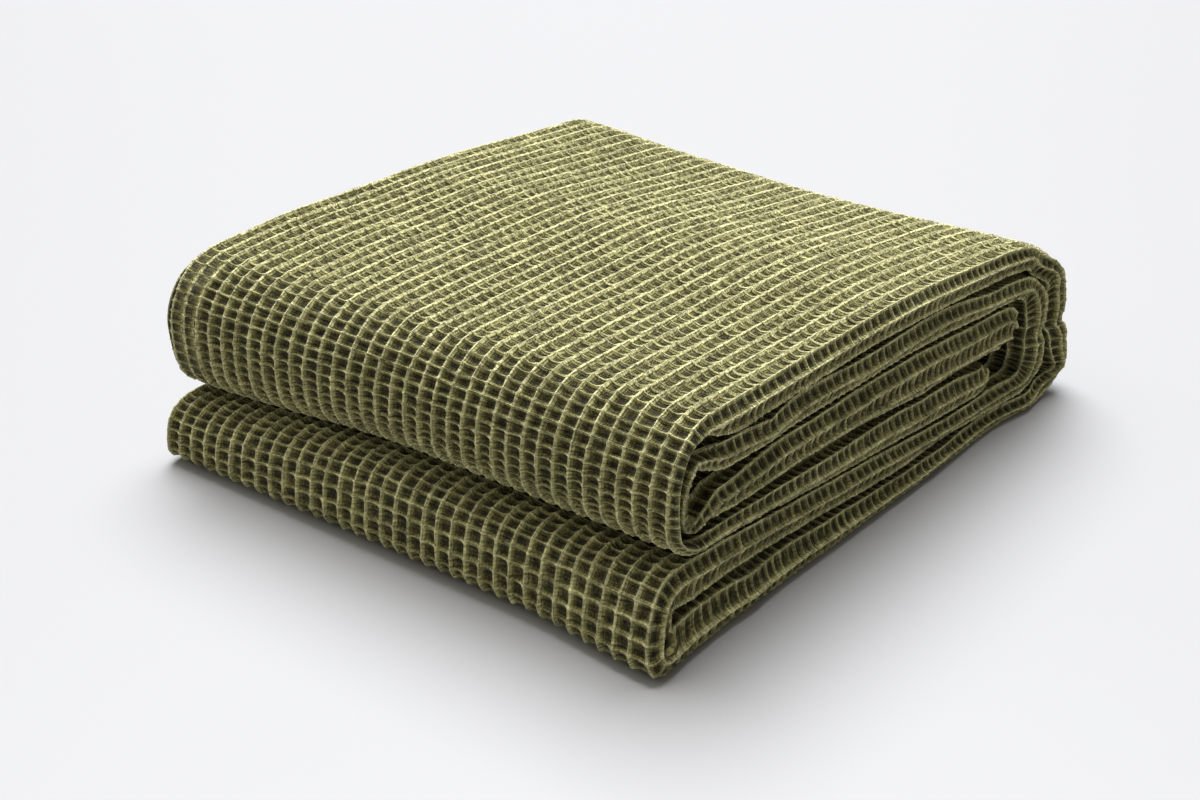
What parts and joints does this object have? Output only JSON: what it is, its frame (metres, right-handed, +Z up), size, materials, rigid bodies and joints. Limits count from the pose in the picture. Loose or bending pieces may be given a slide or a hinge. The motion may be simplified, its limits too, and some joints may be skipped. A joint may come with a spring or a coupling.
{
  "type": "folded throw blanket",
  "caption": "Waffle-weave cotton throw folded into a thick rectangular pad that opens like a book about its far wraps.",
  "frame": {"origin": "centre of the bottom face of the pad's box, where it rests", "axes": "+X across the width, towards the side with only rounded folds; +Y from the near folds to the far wraps; +Z up"},
  "size_m": [0.352, 0.415, 0.125],
  "materials": {
    "waffle_cotton": "matte olive green cotton, honeycomb waffle weave",
    "stitched_hem": "matte olive green cotton, turned and stitched"
  },
  "bodies": {
    "lower_leaf": {"bottom_outer_band": "waffle_cotton", "bottom_outer_side_hem_third_ply": "stitched_hem", "bottom_outer_side_hem_fourth_ply": "stitched_hem", "bottom_inner_band": "waffle_cotton", "bottom_inner_side_hem_third_ply": "stitched_hem", "bottom_inner_side_hem_fourth_ply": "stitched_hem", "near_lower_fold": "waffle_cotton"},
    "far_spine": {"far_outer_wrap": "waffle_cotton", "far_inner_wrap": "waffle_cotton"},
    "upper_pack": {"middle_outer_band": "waffle_cotton", "middle_outer_side_hem_third_ply": "stitched_hem", "middle_outer_side_hem_fourth_ply": "stitched_hem", "middle_inner_band": "waffle_cotton", "middle_inner_side_hem_third_ply": "stitched_hem", "middle_inner_side_hem_fourth_ply": "stitched_hem", "top_inner_band": "waffle_cotton", "top_inner_side_hem_third_ply": "stitched_hem", "top_inner_side_hem_fourth_ply": "stitched_hem", "top_outer_band": "waffle_cotton", "top_outer_side_hem_third_ply": "stitched_hem", "top_outer_side_hem_fourth_ply": "stitched_hem", "middle_outer_end_hem": "stitched_hem", "middle_inner_end_hem": "stitched_hem", "near_upper_outer_fold": "waffle_cotton", "near_upper_inner_fold": "waffle_cotton"}
  },
  "joints": [
    {"name": "spine_opening", "type": "hinge", "parent": "lower_leaf", "child": "far_spine", "pos_m": [0, 0.2075, 0], "axis": [-1, 0, 0], "range_deg": [0, 90]},
    {"name": "pack_opening", "type": "hinge", "parent": "far_spine", "child": "upper_pack", "pos_m": [0, 0.2075, 0.125], "axis": [-1, 0, 0], "range_deg": [0, 90]}
  ],
  "couplings": [
    {"joint": "pack_opening", "follows": "spine_opening", "ratio": 1}
  ]
}
